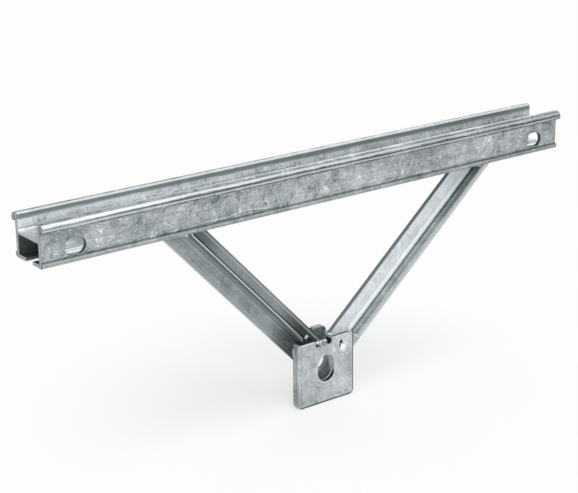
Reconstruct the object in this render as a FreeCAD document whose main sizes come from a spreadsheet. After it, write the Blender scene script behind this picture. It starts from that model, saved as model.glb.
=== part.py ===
import FreeCAD, Part
import os
import Sketcher
from FreeCAD import Placement, Rotation, Vector

# Channel cross arm for an overhead line: a rolled channel rail carried on a V of two tee
# braces that meet at a thick plate, which is bolted through the side of a pole.
# Millimetres. X runs along the rail, minus Y is the front with the thick plate, plus Z is up.
# The origin is on the pole bolt's axis, at the back face of the eye lug, where the pole bears.

SIZES = {
    # rail section, bead to bead and lip to web
    "rail_length": 896.0,
    "rail_height": 59.0,
    "rail_width": 62.0,
    "rail_level": 246.5,
    "wall_gauge": 5.5,
    "web_level": 32.0,
    "web_gauge": 3.6,
    "web_fillet": 3.5,
    "lip_gauge": 5.0,
    "lip_cover": 3.0,
    "mouth_width": 16.0,
    "foot_reach": 3.5,
    "foot_rise": 7.5,
    "foot_radius": 5.5,
    "bead_reach": 9.0,
    "bead_drop": 11.5,
    "bead_groove": 2.5,
    "bead_curl": 5.0,
    "bead_radius": 8.0,
    "edge_radius": 1.4,
    # slots through both side walls, near each end
    "slot_length": 30.0,
    "slot_height": 22.5,
    "slot_rise": 20.75,
    "slot_end": 48.0,
    # tee braces, whose centre lines aim at the pole bolt, the right one a drop below it
    "left_width": 49.5,
    "right_width": 55.0,
    "right_drop": 6.5,
    "tee_depth": 29.0,
    "flange_gauge": 5.0,
    "stem_gauge": 5.0,
    "root_radius": 3.5,
    "left_reach": 232.0,
    "right_reach": 285.0,
    # thick front plate
    "plate_width": 101.0,
    "plate_top": 41.5,
    "plate_foot": 58.0,
    "plate_gauge": 13.0,
    "plate_corner": 7.0,
    "plate_edge": 1.8,
    "notch_width": 30.0,
    "notch_side": 4.5,
    "notch_depth": 11.0,
    "notch_radius": 3.5,
    "eye_drop": 10.0,
    "eye_edge": 1.2,
    "vent_side": 30.0,
    "vent_rise": 20.5,
    "vent_bore": 8.0,
    "vent_point": 10.5,
    # eye lug behind the braces
    "bolt_hole": 30.0,
    "lug_gauge": 8.0,
    "lug_width": 58.0,
    "tongue_width": 27.0,
    "tongue_rise": 53.0,
    "tongue_radius": 8.0,
    # weld beads, by the leg of the bead
    "seat_bead": 4.0,
    "side_bead": 3.0,
    "edge_bead": 4.0,
    "notch_bead": 5.0,
    "tongue_bead": 4.0,
    "bead_margin": 3.0,
}

# Levels and faces that follow from the driving sizes.
WALL_OUT = "(Sizes.rail_width / 2)"
WALL_IN = "(Sizes.rail_width / 2 - Sizes.wall_gauge)"
FOOT_OUT = "(Sizes.rail_width / 2 + Sizes.foot_reach)"
BEAD_OUT = "(Sizes.rail_width / 2 + Sizes.bead_reach)"
GROOVE_OUT = "(Sizes.rail_width / 2 + Sizes.bead_groove)"
MOUTH = "(Sizes.mouth_width / 2)"
BEAD_TIP = "(Sizes.rail_height - Sizes.bead_drop)"
GROOVE_TOP = "(Sizes.rail_height - Sizes.bead_drop + Sizes.bead_curl)"
WEB_TOP = "(Sizes.web_level + Sizes.web_gauge)"
BRACE_BACK = "(-Sizes.lug_gauge)"
BRACE_FACE = "(-Sizes.lug_gauge - Sizes.flange_gauge)"
BRACE_TOE = "(-Sizes.lug_gauge - Sizes.tee_depth)"
RAIL_MIDDLE = "(Sizes.mouth_width / 2 + Sizes.lip_cover - Sizes.lug_gauge - Sizes.flange_gauge)"
PLATE_HALF = "(Sizes.plate_width / 2)"
NOTCH_SIDES = ("(-Sizes.notch_side - Sizes.notch_width / 2)", "(-Sizes.notch_side + Sizes.notch_width / 2)")
STEM_HALF = "(Sizes.stem_gauge / 2)"
REACH = {"left": "Sizes.left_reach", "right": "Sizes.right_reach"}
TEE_HALF = {"left": "(Sizes.left_width / 2)", "right": "(Sizes.right_width / 2)"}
DROP = {"left": "0", "right": "Sizes.right_drop"}
SIDE = {"left": -1, "right": 1}
FAR = "(Sizes.rail_length)"

# The notch weld's lumps of metal, and by how much every other one is smaller.
LUMP_COUNT = 4
LUMP_LESS = 0.12

# How near two places or two directions are taken as the same.
SAME_PLACE = 1e-4
SAME_WAY = 1e-6

doc =FreeCAD.newDocument("channel_cross_arm")
sheet = doc.addObject("Spreadsheet::Sheet", "Sizes")
for row, (alias, value) in enumerate(SIZES.items(), start=1):
    sheet.set("A%d" % row, alias)
    sheet.set("B%d" % row, str(value))
    sheet.setAlias("B%d" % row, alias)
doc.recompute()


def number(formula):
    """The value, now, of a formula on the sheet's names."""
    text = formula
    for alias in sorted(SIZES, key=len, reverse=True):
        text = text.replace("Sizes." + alias, "(%r)" % float(sheet.get(alias)))
    return FreeCAD.Units.Quantity(text).Value


def bind(thing, **formulas):
    """Binds properties to formulas; a double underscore stands for a dot."""
    for name, formula in formulas.items():
        thing.setExpression("." + name.replace("__", "."), formula)


def new_body(name):
    body = doc.addObject("PartDesign::Body", name)
    body.Label = name
    return body


def new_sketch(body, role, name, forward="0"):
    """A sketch on one of the body's own planes, set forward along the plane's normal."""
    planes = {plane.Role: plane for plane in body.Origin.OriginFeatures}
    sketch = body.newObject("Sketcher::SketchObject", name)
    sketch.AttachmentSupport = (planes[role], [""])
    sketch.MapMode = "FlatFace"
    if forward != "0":
        bind(sketch, AttachmentOffset__Base__z=forward)
    return sketch


def place_point(sketch, shape, end, across, up):
    """Ties one point of a sketch to its place; a formula of 0 puts it on the axis."""
    for kind, formula, axis in (("DistanceX", across, -2), ("DistanceY", up, -1)):
        if formula == "0":
            sketch.addConstraint(Sketcher.Constraint("PointOnObject", shape, end, axis))
        else:
            rule = Sketcher.Constraint(kind, -1, 1, shape, end, number(formula))
            index = sketch.addConstraint(rule)
            sketch.setExpression("Constraints[%d]" % index, formula)


def value_of(formula):
    return 0.0 if formula == "0" else number(formula)


def add_outline(sketch, corners):
    """A closed outline of straight sides through corners given as pairs of formulas."""
    places = [Vector(value_of(across), value_of(up), 0) for across, up in corners]
    first = sketch.GeometryCount
    count = len(corners)
    for index in range(count):
        side = Part.LineSegment(places[index], places[(index + 1) % count])
        sketch.addGeometry(side, False)
    for index in range(count):
        following = first + (index + 1) % count
        sketch.addConstraint(Sketcher.Constraint("Coincident", first + index, 2, following, 1))
    for index, (across, up) in enumerate(corners):
        place_point(sketch, first + index, 1, across, up)


def add_rectangle(sketch, left, right, low, high):
    add_outline(sketch, [(left, low), (right, low), (right, high), (left, high)])


def add_circle(sketch, across, up, width):
    centre = Vector(value_of(across), value_of(up), 0)
    circle = Part.Circle(centre, Vector(0, 0, 1), number(width) / 2)
    index = sketch.addGeometry(circle, False)
    place_point(sketch, index, 3, across, up)
    rule = sketch.addConstraint(Sketcher.Constraint("Diameter", index, number(width)))
    sketch.setExpression("Constraints[%d]" % rule, width)


def add_pad(body, sketch, name, length, back=None, centred=False):
    """Material from the sketch along its normal, and back the other way if asked."""
    pad = body.newObject("PartDesign::Pad", name)
    pad.Profile = sketch
    bind(pad, Length=length)
    if centred:
        pad.SideType = "Symmetric"
    if back:
        pad.SideType = "Two sides"
        bind(pad, Length2=back)
    doc.recompute()
    return pad


def add_pocket(body, sketch, name, length, onward=False):
    """A cut both ways through the sketch or, onward, along its normal only."""
    before = body.Tip.Shape.Volume
    pocket = body.newObject("PartDesign::Pocket", name)
    pocket.Profile = sketch
    bind(pocket, Length=length)
    if onward:
        pocket.Reversed = True
    else:
        pocket.SideType = "Symmetric"
    doc.recompute()
    if not pocket.Shape.Volume < before:
        raise RuntimeError("%s in %s cuts nothing" % (name, body.Name))
    return pocket


def add_fillet(body, name, radius, wanted):
    """Rounds the straight or round edges of the body's tip that the test picks."""
    base = body.Tip
    picked = ["Edge%d" % (index + 1) for index, edge in enumerate(base.Shape.Edges) if wanted(edge)]
    if not picked:
        raise RuntimeError("%s in %s finds no edge" % (name, body.Name))
    fillet = body.newObject("PartDesign::Fillet", name)
    fillet.Base = (base, picked)
    bind(fillet, Radius=radius)
    doc.recompute()
    return fillet


def runs_along(edge, direction):
    ends = edge.Vertexes
    if len(ends) != 2 or edge.Curve.TypeId != "Part::GeomLine":
        return False
    run = (ends[1].Point - ends[0].Point).normalize()
    return abs(abs(run.dot(direction)) - 1) < SAME_WAY


def corner_test(direction, first_axis, second_axis, corners):
    """Picks edges along a direction that pass through one of the given section corners."""
    places = [(value_of(a), value_of(b)) for a, b in corners]

    def wanted(edge):
        if not runs_along(edge, direction):
            return False
        middle = edge.CenterOfMass
        here = (middle.dot(first_axis), middle.dot(second_axis))
        return any(abs(here[0] - a) < SAME_PLACE and abs(here[1] - b) < SAME_PLACE for a, b in places)
    return wanted


def both_sides(across, up):
    return [(across, up), ("-" + across, up)]


X_AXIS, Y_AXIS, Z_AXIS = Vector(1, 0, 0), Vector(0, 1, 0), Vector(0, 0, 1)


def make_rail():
    """The rolled rail: trough above the web, slotted channel below, curled beads on top."""
    body = new_body("rail")
    bind(body, Placement__Base__y=RAIL_MIDDLE, Placement__Base__z="Sizes.rail_level")
    right = [
        (MOUTH, "0"), (FOOT_OUT, "0"), (FOOT_OUT, "Sizes.foot_rise"), (WALL_OUT, "Sizes.foot_rise"),
        (WALL_OUT, GROOVE_TOP), (GROOVE_OUT, GROOVE_TOP), (GROOVE_OUT, BEAD_TIP), (BEAD_OUT, BEAD_TIP),
        (BEAD_OUT, "Sizes.rail_height"), (WALL_IN, "Sizes.rail_height"), (WALL_IN, WEB_TOP),
    ]
    left = [("-" + across, up) for across, up in reversed(right)]
    channel = [
        ("-" + MOUTH, "Sizes.lip_gauge"), ("-" + WALL_IN, "Sizes.lip_gauge"),
        ("-" + WALL_IN, "Sizes.web_level"), (WALL_IN, "Sizes.web_level"),
        (WALL_IN, "Sizes.lip_gauge"), (MOUTH, "Sizes.lip_gauge"),
    ]
    section = new_sketch(body, "YZ_Plane", "rail_section")
    add_outline(section, right + left + channel)
    add_pad(body, section, "rail_run", "Sizes.rail_length", centred=True)

    rounds = [
        ("bead_rounds", "Sizes.bead_radius", both_sides(BEAD_OUT, "Sizes.rail_height")),
        ("foot_rounds", "Sizes.foot_radius", both_sides(FOOT_OUT, "0")),
        ("web_rounds", "Sizes.web_fillet", both_sides(WALL_IN, WEB_TOP)),
        ("edge_rounds", "Sizes.edge_radius",
         both_sides(WALL_IN, "Sizes.rail_height") + both_sides(BEAD_OUT, BEAD_TIP)
         + both_sides(FOOT_OUT, "Sizes.foot_rise") + both_sides(MOUTH, "0")
         + both_sides(MOUTH, "Sizes.lip_gauge") + both_sides(WALL_IN, "Sizes.lip_gauge")),
    ]
    for name, radius, corners in rounds:
        add_fillet(body, name, radius, corner_test(X_AXIS, Y_AXIS, Z_AXIS, corners))

    low = "(Sizes.slot_rise - Sizes.slot_height / 2)"
    high = "(Sizes.slot_rise + Sizes.slot_height / 2)"
    near = "(Sizes.slot_end - (Sizes.slot_length - Sizes.slot_height) / 2)"
    far = "(Sizes.slot_end + (Sizes.slot_length - Sizes.slot_height) / 2)"
    middles = new_sketch(body, "XZ_Plane", "slot_middles")
    outer_ends = new_sketch(body, "XZ_Plane", "slot_outer_ends")
    inner_ends = new_sketch(body, "XZ_Plane", "slot_inner_ends")
    for sign in ("-", ""):
        outer = "%s(Sizes.rail_length / 2 - %s)" % (sign, near)
        inner = "%s(Sizes.rail_length / 2 - %s)" % (sign, far)
        add_rectangle(middles, outer, inner, low, high)
        add_circle(outer_ends, outer, "Sizes.slot_rise", "Sizes.slot_height")
        add_circle(inner_ends, inner, "Sizes.slot_rise", "Sizes.slot_height")
    for sketch in (middles, outer_ends, inner_ends):
        add_pocket(body, sketch, sketch.Name + "_cut", "2 * Sizes.rail_width")
    return body


def make_brace(side):
    """A tee brace: flange in the plane of the frame, stem to the front, ends cut to fit."""
    sign = SIDE[side]
    minus = "-" if sign < 0 else ""
    body = new_body(side + "_brace")
    lean = "%s(90 deg - atan(Sizes.rail_level / %s))" % (minus, REACH[side])
    run = Vector(sign * number(REACH[side]), 0, number("Sizes.rail_level")).normalize()
    section = new_sketch(body, "XY_Plane", side + "_section")
    section.AttachmentOffset = Placement(Vector(), Rotation(Y_AXIS, sign * 45))
    bind(section, AttachmentOffset__Rotation__Angle=lean)
    middle = minus + DROP[side]
    wings = ["(%s - %s)" % (middle, TEE_HALF[side]), "(%s + %s)" % (middle, TEE_HALF[side])]
    stems = ["(%s - %s)" % (middle, STEM_HALF), "(%s + %s)" % (middle, STEM_HALF)]
    add_outline(section, [
        (wings[0], BRACE_BACK), (wings[1], BRACE_BACK), (wings[1], BRACE_FACE),
        (stems[1], BRACE_FACE), (stems[1], BRACE_TOE), (stems[0], BRACE_TOE),
        (stems[0], BRACE_FACE), (wings[0], BRACE_FACE),
    ])
    spare = "4 * %s" % TEE_HALF[side]
    length = "sqrt(%s ^ 2 + Sizes.rail_level ^ 2) + %s" % (REACH[side], spare)
    add_pad(body, section, side + "_run", length, back=spare)

    across = Y_AXIS.cross(run)
    corners = [(stem, BRACE_FACE) for stem in stems]
    add_fillet(body, side + "_roots", "Sizes.root_radius", corner_test(run, across, Y_AXIS, corners))
    corners = [(wing, BRACE_FACE) for wing in wings] + [(stem, BRACE_TOE) for stem in stems]
    tips = corner_test(run, across, Y_AXIS, corners)
    add_fillet(body, side + "_tips", "Sizes.edge_radius", tips)

    above = new_sketch(body, "XZ_Plane", side + "_above_seat")
    add_rectangle(above, "-" + FAR, FAR, "Sizes.rail_level", "2 * Sizes.rail_level")
    add_pocket(body, above, side + "_seat_cut", "4 * Sizes.tee_depth")
    beyond = new_sketch(body, "XZ_Plane", side + "_beyond_mitre")
    other_side = "-" + FAR if sign > 0 else FAR
    add_rectangle(beyond, "0", other_side, "-" + spare, "Sizes.rail_level")
    add_pocket(body, beyond, side + "_mitre_cut", "4 * Sizes.tee_depth")
    stem = new_sketch(body, "XZ_Plane", side + "_stem_end", forward="-" + BRACE_FACE)
    add_rectangle(stem, "-" + PLATE_HALF, PLATE_HALF, "-" + spare, "Sizes.rail_level")
    add_pocket(body, stem, side + "_stem_cut", "2 * Sizes.tee_depth", onward=True)
    bolt = new_sketch(body, "XZ_Plane", side + "_bolt_place")
    add_circle(bolt, "0", "0", "Sizes.bolt_hole")
    add_pocket(body, bolt, side + "_bolt_hole", "4 * Sizes.tee_depth")
    return body


def make_plate():
    """The thick front plate, with its upright eye, the notch over the braces and a vent hole."""
    body = new_body("front_plate")
    blank = new_sketch(body, "XZ_Plane", "plate_blank", forward="-" + BRACE_FACE)
    add_rectangle(blank, "-" + PLATE_HALF, PLATE_HALF, "-Sizes.plate_foot", "Sizes.plate_top")
    add_pad(body, blank, "plate_body", "Sizes.plate_gauge")
    corners = both_sides(PLATE_HALF, "Sizes.plate_top") + both_sides(PLATE_HALF, "-Sizes.plate_foot")
    add_fillet(body, "plate_corners", "Sizes.plate_corner", corner_test(Y_AXIS, X_AXIS, Z_AXIS, corners))
    front = number(BRACE_FACE) - number("Sizes.plate_gauge")

    def on_front(edge):
        box = edge.BoundBox
        return abs(box.YMin - front) < SAME_PLACE and abs(box.YMax - front) < SAME_PLACE
    add_fillet(body, "plate_edges", "Sizes.plate_edge", on_front)

    notch = new_sketch(body, "XZ_Plane", "notch_shape", forward="-" + BRACE_FACE)
    floor = "(Sizes.plate_top - Sizes.notch_depth)"
    left, right = NOTCH_SIDES
    add_rectangle(notch, left, right, floor, "Sizes.plate_top + Sizes.notch_depth")
    add_pocket(body, notch, "notch_cut", "3 * Sizes.plate_gauge")
    add_fillet(body, "notch_corners", "Sizes.notch_radius",
               corner_test(Y_AXIS, X_AXIS, Z_AXIS, [(left, floor), (right, floor)]))

    eye = new_sketch(body, "XZ_Plane", "eye_ends", forward="-" + BRACE_FACE)
    add_circle(eye, "0", "0", "Sizes.bolt_hole")
    add_pocket(body, eye, "eye_top_cut", "3 * Sizes.plate_gauge")
    low_eye = new_sketch(body, "XZ_Plane", "eye_low_end", forward="-" + BRACE_FACE)
    add_circle(low_eye, "0", "-Sizes.eye_drop", "Sizes.bolt_hole")
    add_pocket(body, low_eye, "eye_low_cut", "3 * Sizes.plate_gauge")
    middle = new_sketch(body, "XZ_Plane", "eye_middle", forward="-" + BRACE_FACE)
    add_rectangle(middle, "-Sizes.bolt_hole / 2", "Sizes.bolt_hole / 2", "-Sizes.eye_drop", "0")
    add_pocket(body, middle, "eye_middle_cut", "3 * Sizes.plate_gauge")
    eye_reach = number("Sizes.bolt_hole / 2 + Sizes.eye_drop")

    def on_eye_rim(edge):
        away = edge.CenterOfMass
        away.y = 0
        return on_front(edge) and away.Length < eye_reach + SAME_PLACE
    add_fillet(body, "eye_rim", "Sizes.eye_edge", on_eye_rim)

    vent = new_sketch(body, "XZ_Plane", "vent_round", forward="-" + BRACE_FACE)
    add_circle(vent, "Sizes.vent_side", "Sizes.vent_rise", "Sizes.vent_bore")
    add_pocket(body, vent, "vent_hole", "3 * Sizes.plate_gauge")
    point = new_sketch(body, "XZ_Plane", "vent_tip", forward="-" + BRACE_FACE)
    add_outline(point, [
        ("Sizes.vent_side - Sizes.vent_bore / 2", "Sizes.vent_rise"),
        ("Sizes.vent_side + Sizes.vent_bore / 2", "Sizes.vent_rise"),
        ("Sizes.vent_side - Sizes.vent_bore / 4", "Sizes.vent_rise + Sizes.vent_point"),
    ])
    add_pocket(body, point, "vent_tip_cut", "3 * Sizes.plate_gauge")
    return body


def make_lug():
    """The eye lug behind the braces, with a tongue that stands up between them."""
    body = new_body("eye_lug")
    eye = new_sketch(body, "XZ_Plane", "lug_round")
    add_circle(eye, "0", "0", "Sizes.lug_width")
    add_pad(body, eye, "lug_disc", "Sizes.lug_gauge")
    tongue = new_sketch(body, "XZ_Plane", "tongue_shape")
    half = "(Sizes.tongue_width / 2)"
    add_rectangle(tongue, "-" + half, half, "0", "Sizes.tongue_rise")
    add_pad(body, tongue, "tongue", "Sizes.lug_gauge")
    tops = corner_test(Y_AXIS, X_AXIS, Z_AXIS, both_sides(half, "Sizes.tongue_rise"))
    add_fillet(body, "tongue_corners", "Sizes.tongue_radius", tops)
    bolt = new_sketch(body, "XZ_Plane", "lug_bolt_place")
    add_circle(bolt, "0", "0", "Sizes.bolt_hole")
    add_pocket(body, bolt, "lug_bolt_hole", "4 * Sizes.lug_gauge")
    return body


def make_block(name, left, right, back, front, low, high):
    """A plain block between named faces, used to trim weld beads."""
    block = doc.addObject("Part::Box", name)
    bind(block, Length="%s - (%s)" % (right, left), Width="%s - (%s)" % (back, front),
         Height="%s - (%s)" % (high, low),
         Placement__Base__x=left, Placement__Base__y=front, Placement__Base__z=low)
    return block


def make_bead(name, across, out, radius, length, place, sweep=90):
    """A quarter round of weld metal in a corner, between two directions away from it."""
    bead = doc.addObject("Part::Cylinder", name)
    bead.Placement = Placement(Vector(), Rotation(across, out, across.cross(out), "XYZ"))
    bead.Angle = sweep
    bind(bead, Radius=radius, Height=length,
         Placement__Base__x=place[0], Placement__Base__y=place[1], Placement__Base__z=place[2])
    return bead


def make_seat_weld(side, brace):
    """The beads under the rail, across the flange's face and along both sides of the stem."""
    minus = "-" if SIDE[side] < 0 else ""
    slant = "(sqrt(%s ^ 2 + Sizes.rail_level ^ 2) / Sizes.rail_level)" % REACH[side]
    centre = "%s(%s + %s * %s)" % (minus, REACH[side], DROP[side], slant)
    half = "(%s * %s - Sizes.bead_margin)" % (TEE_HALF[side], slant)
    name = side + "_seat_weld"
    flange_bead = make_bead(name + "_flange", -Y_AXIS, -Z_AXIS, "Sizes.seat_bead", "2 * " + half,
                            ("%s - %s" % (centre, half), BRACE_FACE, "Sizes.rail_level"))
    foot_flat = "(%s - %s + Sizes.foot_radius)" % (RAIL_MIDDLE, FOOT_OUT)
    stem_bead = make_bead(name + "_stem", -X_AXIS, -Z_AXIS,
                          "%s * %s + Sizes.seat_bead" % (STEM_HALF, slant),
                          "%s - %s" % (BRACE_FACE, foot_flat),
                          (centre, BRACE_FACE, "Sizes.rail_level"), sweep=180)
    metal = doc.addObject("Part::Fuse", name + "_metal")
    metal.Base, metal.Tool = flange_bead, stem_bead
    weld = doc.addObject("Part::Cut", name)
    weld.Base, weld.Tool = metal, brace
    return weld


def make_side_weld(side):
    """The upright bead where the plate's side meets the face of the brace's flange."""
    sign = SIDE[side]
    minus = "-" if sign < 0 else ""
    rise = "(Sizes.rail_level / %s)" % REACH[side]
    drop = "((%s + %s) * sqrt(1 + %s ^ 2))" % (TEE_HALF[side], DROP[side], rise)
    low = "((%s + Sizes.side_bead) * %s - %s)" % (PLATE_HALF, rise, drop)
    under_stem = "(%s * %s - (%s + %s + Sizes.root_radius) * sqrt(1 + %s ^ 2))" % (
        PLATE_HALF, rise, DROP[side], STEM_HALF, rise)
    high = "min(Sizes.plate_top - Sizes.plate_corner; %s)" % under_stem
    ways = (-X_AXIS, -Y_AXIS) if sign < 0 else (-Y_AXIS, X_AXIS)
    return make_bead(side + "_side_weld", ways[0], ways[1], "Sizes.side_bead", "%s - %s" % (high, low),
                     (minus + PLATE_HALF, BRACE_FACE, low))


def make_edge_weld(side):
    """The bead behind the plate, along the lower edge of the brace's flange."""
    sign = SIDE[side]
    rise = "(Sizes.rail_level / %s)" % REACH[side]
    drop = "((%s + %s) * sqrt(1 + %s ^ 2))" % (TEE_HALF[side], DROP[side], rise)
    start = "(%s - Sizes.bead_margin)" % PLATE_HALF if sign < 0 else "Sizes.bead_margin"
    minus = "-" if sign < 0 else ""
    bead = make_bead(side + "_edge_weld", X_AXIS, Y_AXIS, "Sizes.edge_bead",
                     "(%s - 2 * Sizes.bead_margin) * sqrt(1 + %s ^ 2)" % (PLATE_HALF, rise),
                     (minus + start, BRACE_FACE, "%s * %s - %s" % (start, rise, drop)))
    bead.Placement = Placement(bead.Placement.Base, Rotation(Y_AXIS, 90))
    bind(bead, Placement__Rotation__Angle="90 deg %s atan(%s)" % ("+" if sign < 0 else "-", rise))
    return bead


def make_notch_weld():
    """The lumpy bead on the notch's floor, against the tips of the braces."""
    name = "notch_weld"
    floor = "(Sizes.plate_top - Sizes.notch_depth)"
    lumps = []
    for index in range(LUMP_COUNT):
        lump = doc.addObject("Part::Sphere", "%s_lump_%d" % (name, index))
        share = (index + 0.5) / LUMP_COUNT - 0.5
        place = "(Sizes.notch_width - 2 * Sizes.notch_radius) * %g - Sizes.notch_side" % share
        bind(lump, Radius="Sizes.notch_bead * %g" % (1 - LUMP_LESS * (index % 2)),
             Placement__Base__x=place, Placement__Base__y=BRACE_FACE, Placement__Base__z=floor)
        lumps.append(lump)
    left, right = NOTCH_SIDES
    block = make_block(name + "_limit", left + " + Sizes.notch_radius", right + " - Sizes.notch_radius",
                       BRACE_FACE, "(%s - Sizes.plate_gauge)" % BRACE_FACE, floor, "Sizes.plate_top")
    metal = doc.addObject("Part::MultiFuse", name + "_metal")
    metal.Shapes = lumps
    weld = doc.addObject("Part::Common", name)
    weld.Base, weld.Tool = metal, block
    return weld


def make_tongue_weld(side):
    """The upright bead between the lug's tongue and the back of the brace's flange."""
    sign = SIDE[side]
    low = "(Sizes.lug_width / 2)"
    high = "(Sizes.tongue_rise - Sizes.tongue_radius - Sizes.bead_margin)"
    ways = (Y_AXIS, -X_AXIS) if sign < 0 else (X_AXIS, Y_AXIS)
    minus = "-" if sign < 0 else ""
    return make_bead(side + "_tongue_weld", ways[0], ways[1], "Sizes.tongue_bead", "%s - %s" % (high, low),
                     (minus + "Sizes.tongue_width / 2", BRACE_BACK, low))


parts = [make_rail(), make_plate(), make_lug(), make_notch_weld()]
for side in SIDE:
    brace = make_brace(side)
    parts += [brace, make_seat_weld(side, brace)]
    parts += [make_side_weld(side), make_edge_weld(side), make_tongue_weld(side)]
doc.recompute()

for item in doc.Objects:
    if "Invalid" in item.State or "Error" in item.State:
        raise RuntimeError("%s failed: %s" % (item.Name, item.State))
for part in parts:
    if part.Shape.isNull() or not part.Shape.isValid() or not part.Shape.Solids:
        raise RuntimeError("%s has no valid solid" % part.Label)

os.makedirs("parts", exist_ok=True)
for part in parts:
    part.Shape.exportStep(os.path.join("parts", part.Label + ".step"))
    box = part.Shape.optimalBoundingBox()
    print("%-18s %d solid  %10.1f mm3  X %.1f %.1f  Y %.1f %.1f  Z %.1f %.1f" % (
        part.Label, len(part.Shape.Solids), part.Shape.Volume,
        box.XMin, box.XMax, box.YMin, box.YMax, box.ZMin, box.ZMax))
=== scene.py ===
import math

import bpy
from bpy.props import FloatProperty, FloatVectorProperty, IntProperty, PointerProperty
from mathutils import Matrix, Vector


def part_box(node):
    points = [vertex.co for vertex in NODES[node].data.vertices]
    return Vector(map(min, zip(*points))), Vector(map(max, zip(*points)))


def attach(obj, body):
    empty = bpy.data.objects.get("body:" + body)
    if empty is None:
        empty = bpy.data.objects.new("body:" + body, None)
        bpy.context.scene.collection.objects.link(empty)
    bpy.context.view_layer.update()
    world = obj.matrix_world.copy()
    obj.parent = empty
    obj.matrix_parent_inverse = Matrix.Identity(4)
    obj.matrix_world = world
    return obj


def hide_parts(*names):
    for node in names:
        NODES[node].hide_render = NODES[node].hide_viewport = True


bl_info = {
    "name": "Channel Cross Arm",
    "version": (1, 0, 0),
    "blender": (4, 5, 0),
    "location": "View3D > Sidebar > Cross Arm",
    "description": "Hot-dip zinc finish, weld beads and zinc runs for a channel cross arm",
    "category": "Object",
}

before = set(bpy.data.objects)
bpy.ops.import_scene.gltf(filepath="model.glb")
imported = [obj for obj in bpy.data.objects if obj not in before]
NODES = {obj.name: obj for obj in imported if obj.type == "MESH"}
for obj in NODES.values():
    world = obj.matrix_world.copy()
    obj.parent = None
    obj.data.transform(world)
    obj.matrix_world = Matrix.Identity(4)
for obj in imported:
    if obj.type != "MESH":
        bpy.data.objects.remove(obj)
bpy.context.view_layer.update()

# The rail, in metres, in the frame of the solids. The walls are measured across, from the
# rail's middle plane.
RAIL_LOW, RAIL_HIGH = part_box("rail")
RAIL_MIDDLE = (RAIL_LOW.y + RAIL_HIGH.y) / 2
RAIL_FOOT, RAIL_TOP = RAIL_LOW.z, RAIL_HIGH.z
WALL_IN, WALL_OUT = 0.0255, 0.031
BEAD_TIP = RAIL_TOP - 0.0115
FOOT_TOP = RAIL_FOOT + 0.0075
WEB_LOW, WEB_TOP = RAIL_FOOT + 0.032, RAIL_FOOT + 0.0356
SLOT_SIDE, SLOT_LEVEL = 0.4, RAIL_FOOT + 0.02075
SLOT_HALF, SLOT_RADIUS = 0.00375, 0.01125

# The plate, the lug and the braces. A brace's centre line runs from the bolt's axis, or from a
# drop below it, up to its reach along the rail's foot.
PLATE_LOW, PLATE_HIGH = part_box("front_plate")
LUG_LOW, LUG_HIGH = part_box("eye_lug")
BRACE_TOE, BRACE_FACE, BRACE_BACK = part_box("left_brace")[0].y, PLATE_HIGH.y, LUG_LOW.y
SIGN = {"left": -1, "right": 1}
REACH = {"left": 0.232, "right": 0.285}
DROP = {"left": 0.0, "right": 0.0065}
TEE_HALF = {"left": 0.02475, "right": 0.0275}
STEM_HALF = 0.0025
EYE_DROP, EYE_RADIUS = 0.010, 0.015
VENT_SIDE, VENT_LEVEL = 0.030, 0.0215
# The notch's pockets take painted shade: each has a place and a radius.
POCKETS = (((-0.0135, 0.0330), 0.0052), ((0.0090, 0.0335), 0.0038))  # place and radius

# The radius of the bead of each kind of weld.
WELD_RADIUS = {"seat": 0.0031, "side": 0.0014, "edge": 0.003, "tongue": 0.0031, "notch": 0.0036}

# Marks on the rail's front wall, as places along X and Z, with the specks' colour.
RUN_ENDS = (-0.205, -0.095)
SEAM = (0.0846, 0.0858)
SPECKS = ((-0.1128, 0.2733), (-0.0347, 0.2739))
STAIN = (0.16, 0.11, 0.08, 1.0)

# Strength of the painted glow inside the channel behind the left slot and on the vent hole's lower
# wall.
PAINTED_GLOW = 0.7

# Masks: a point this near a face is on it, soft ends reach this far, and FAR lies beyond all.
NEAR = 0.0004
SOFT, SHARP = 0.0003, 0.0002
FAR = 1.0

# Sockets that only their order tells apart.
MIX_SHARE, MIX_FIRST, MIX_SECOND, MIX_RESULT = 0, 6, 7, 2
NUMBER_LOW, NUMBER_HIGH, NUMBER_DRAWN = 2, 3, 1
VECTOR_LOW, VECTOR_HIGH, VECTOR_DRAWN = 0, 1, 0
CHOICE_DRAWN = 3


class ArmSettings(bpy.types.PropertyGroup):
    spangle_size: FloatProperty(
        name="Spangle size", description="Breadth of one patch of feathered zinc crystals",
        default=0.017, min=0.002, unit="LENGTH")
    cloud_size: FloatProperty(
        name="Cloud size", description="Breadth of the lighter and darker clouds",
        default=0.05, min=0.01, unit="LENGTH")
    grain_size: FloatProperty(
        name="Grain size", description="Breadth of the finest grain in the zinc",
        default=0.0022, min=0.0005, unit="LENGTH")
    relief: FloatProperty(
        name="Relief", description="Depth of the zinc's unevenness",
        default=0.0006, min=0.0, unit="LENGTH")
    run_gap: FloatProperty(
        name="Run gap", description="Mean distance between zinc runs along an edge",
        default=0.012, min=0.003, unit="LENGTH")
    run_size: FloatProperty(
        name="Run size", description="Breadth of a zinc run",
        default=0.0016, min=0.0005, unit="LENGTH")
    ripple_gap: FloatProperty(
        name="Ripple gap", description="Distance between the ripples of a weld bead",
        default=0.0026, min=0.0008, unit="LENGTH")
    seed: IntProperty(name="Seed", description="Seed of every random choice", default=7, min=0)
    lamp_power: FloatProperty(
        name="Lamp power", description="Power of the large overhead lamp",
        default=26.0, min=0.0, unit="POWER")
    backdrop: FloatVectorProperty(
        name="Backdrop", description="Colour of the floor and the backdrop",
        default=(0.985, 0.985, 0.985), size=3, min=0.0, max=1.0, subtype="COLOR")


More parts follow.
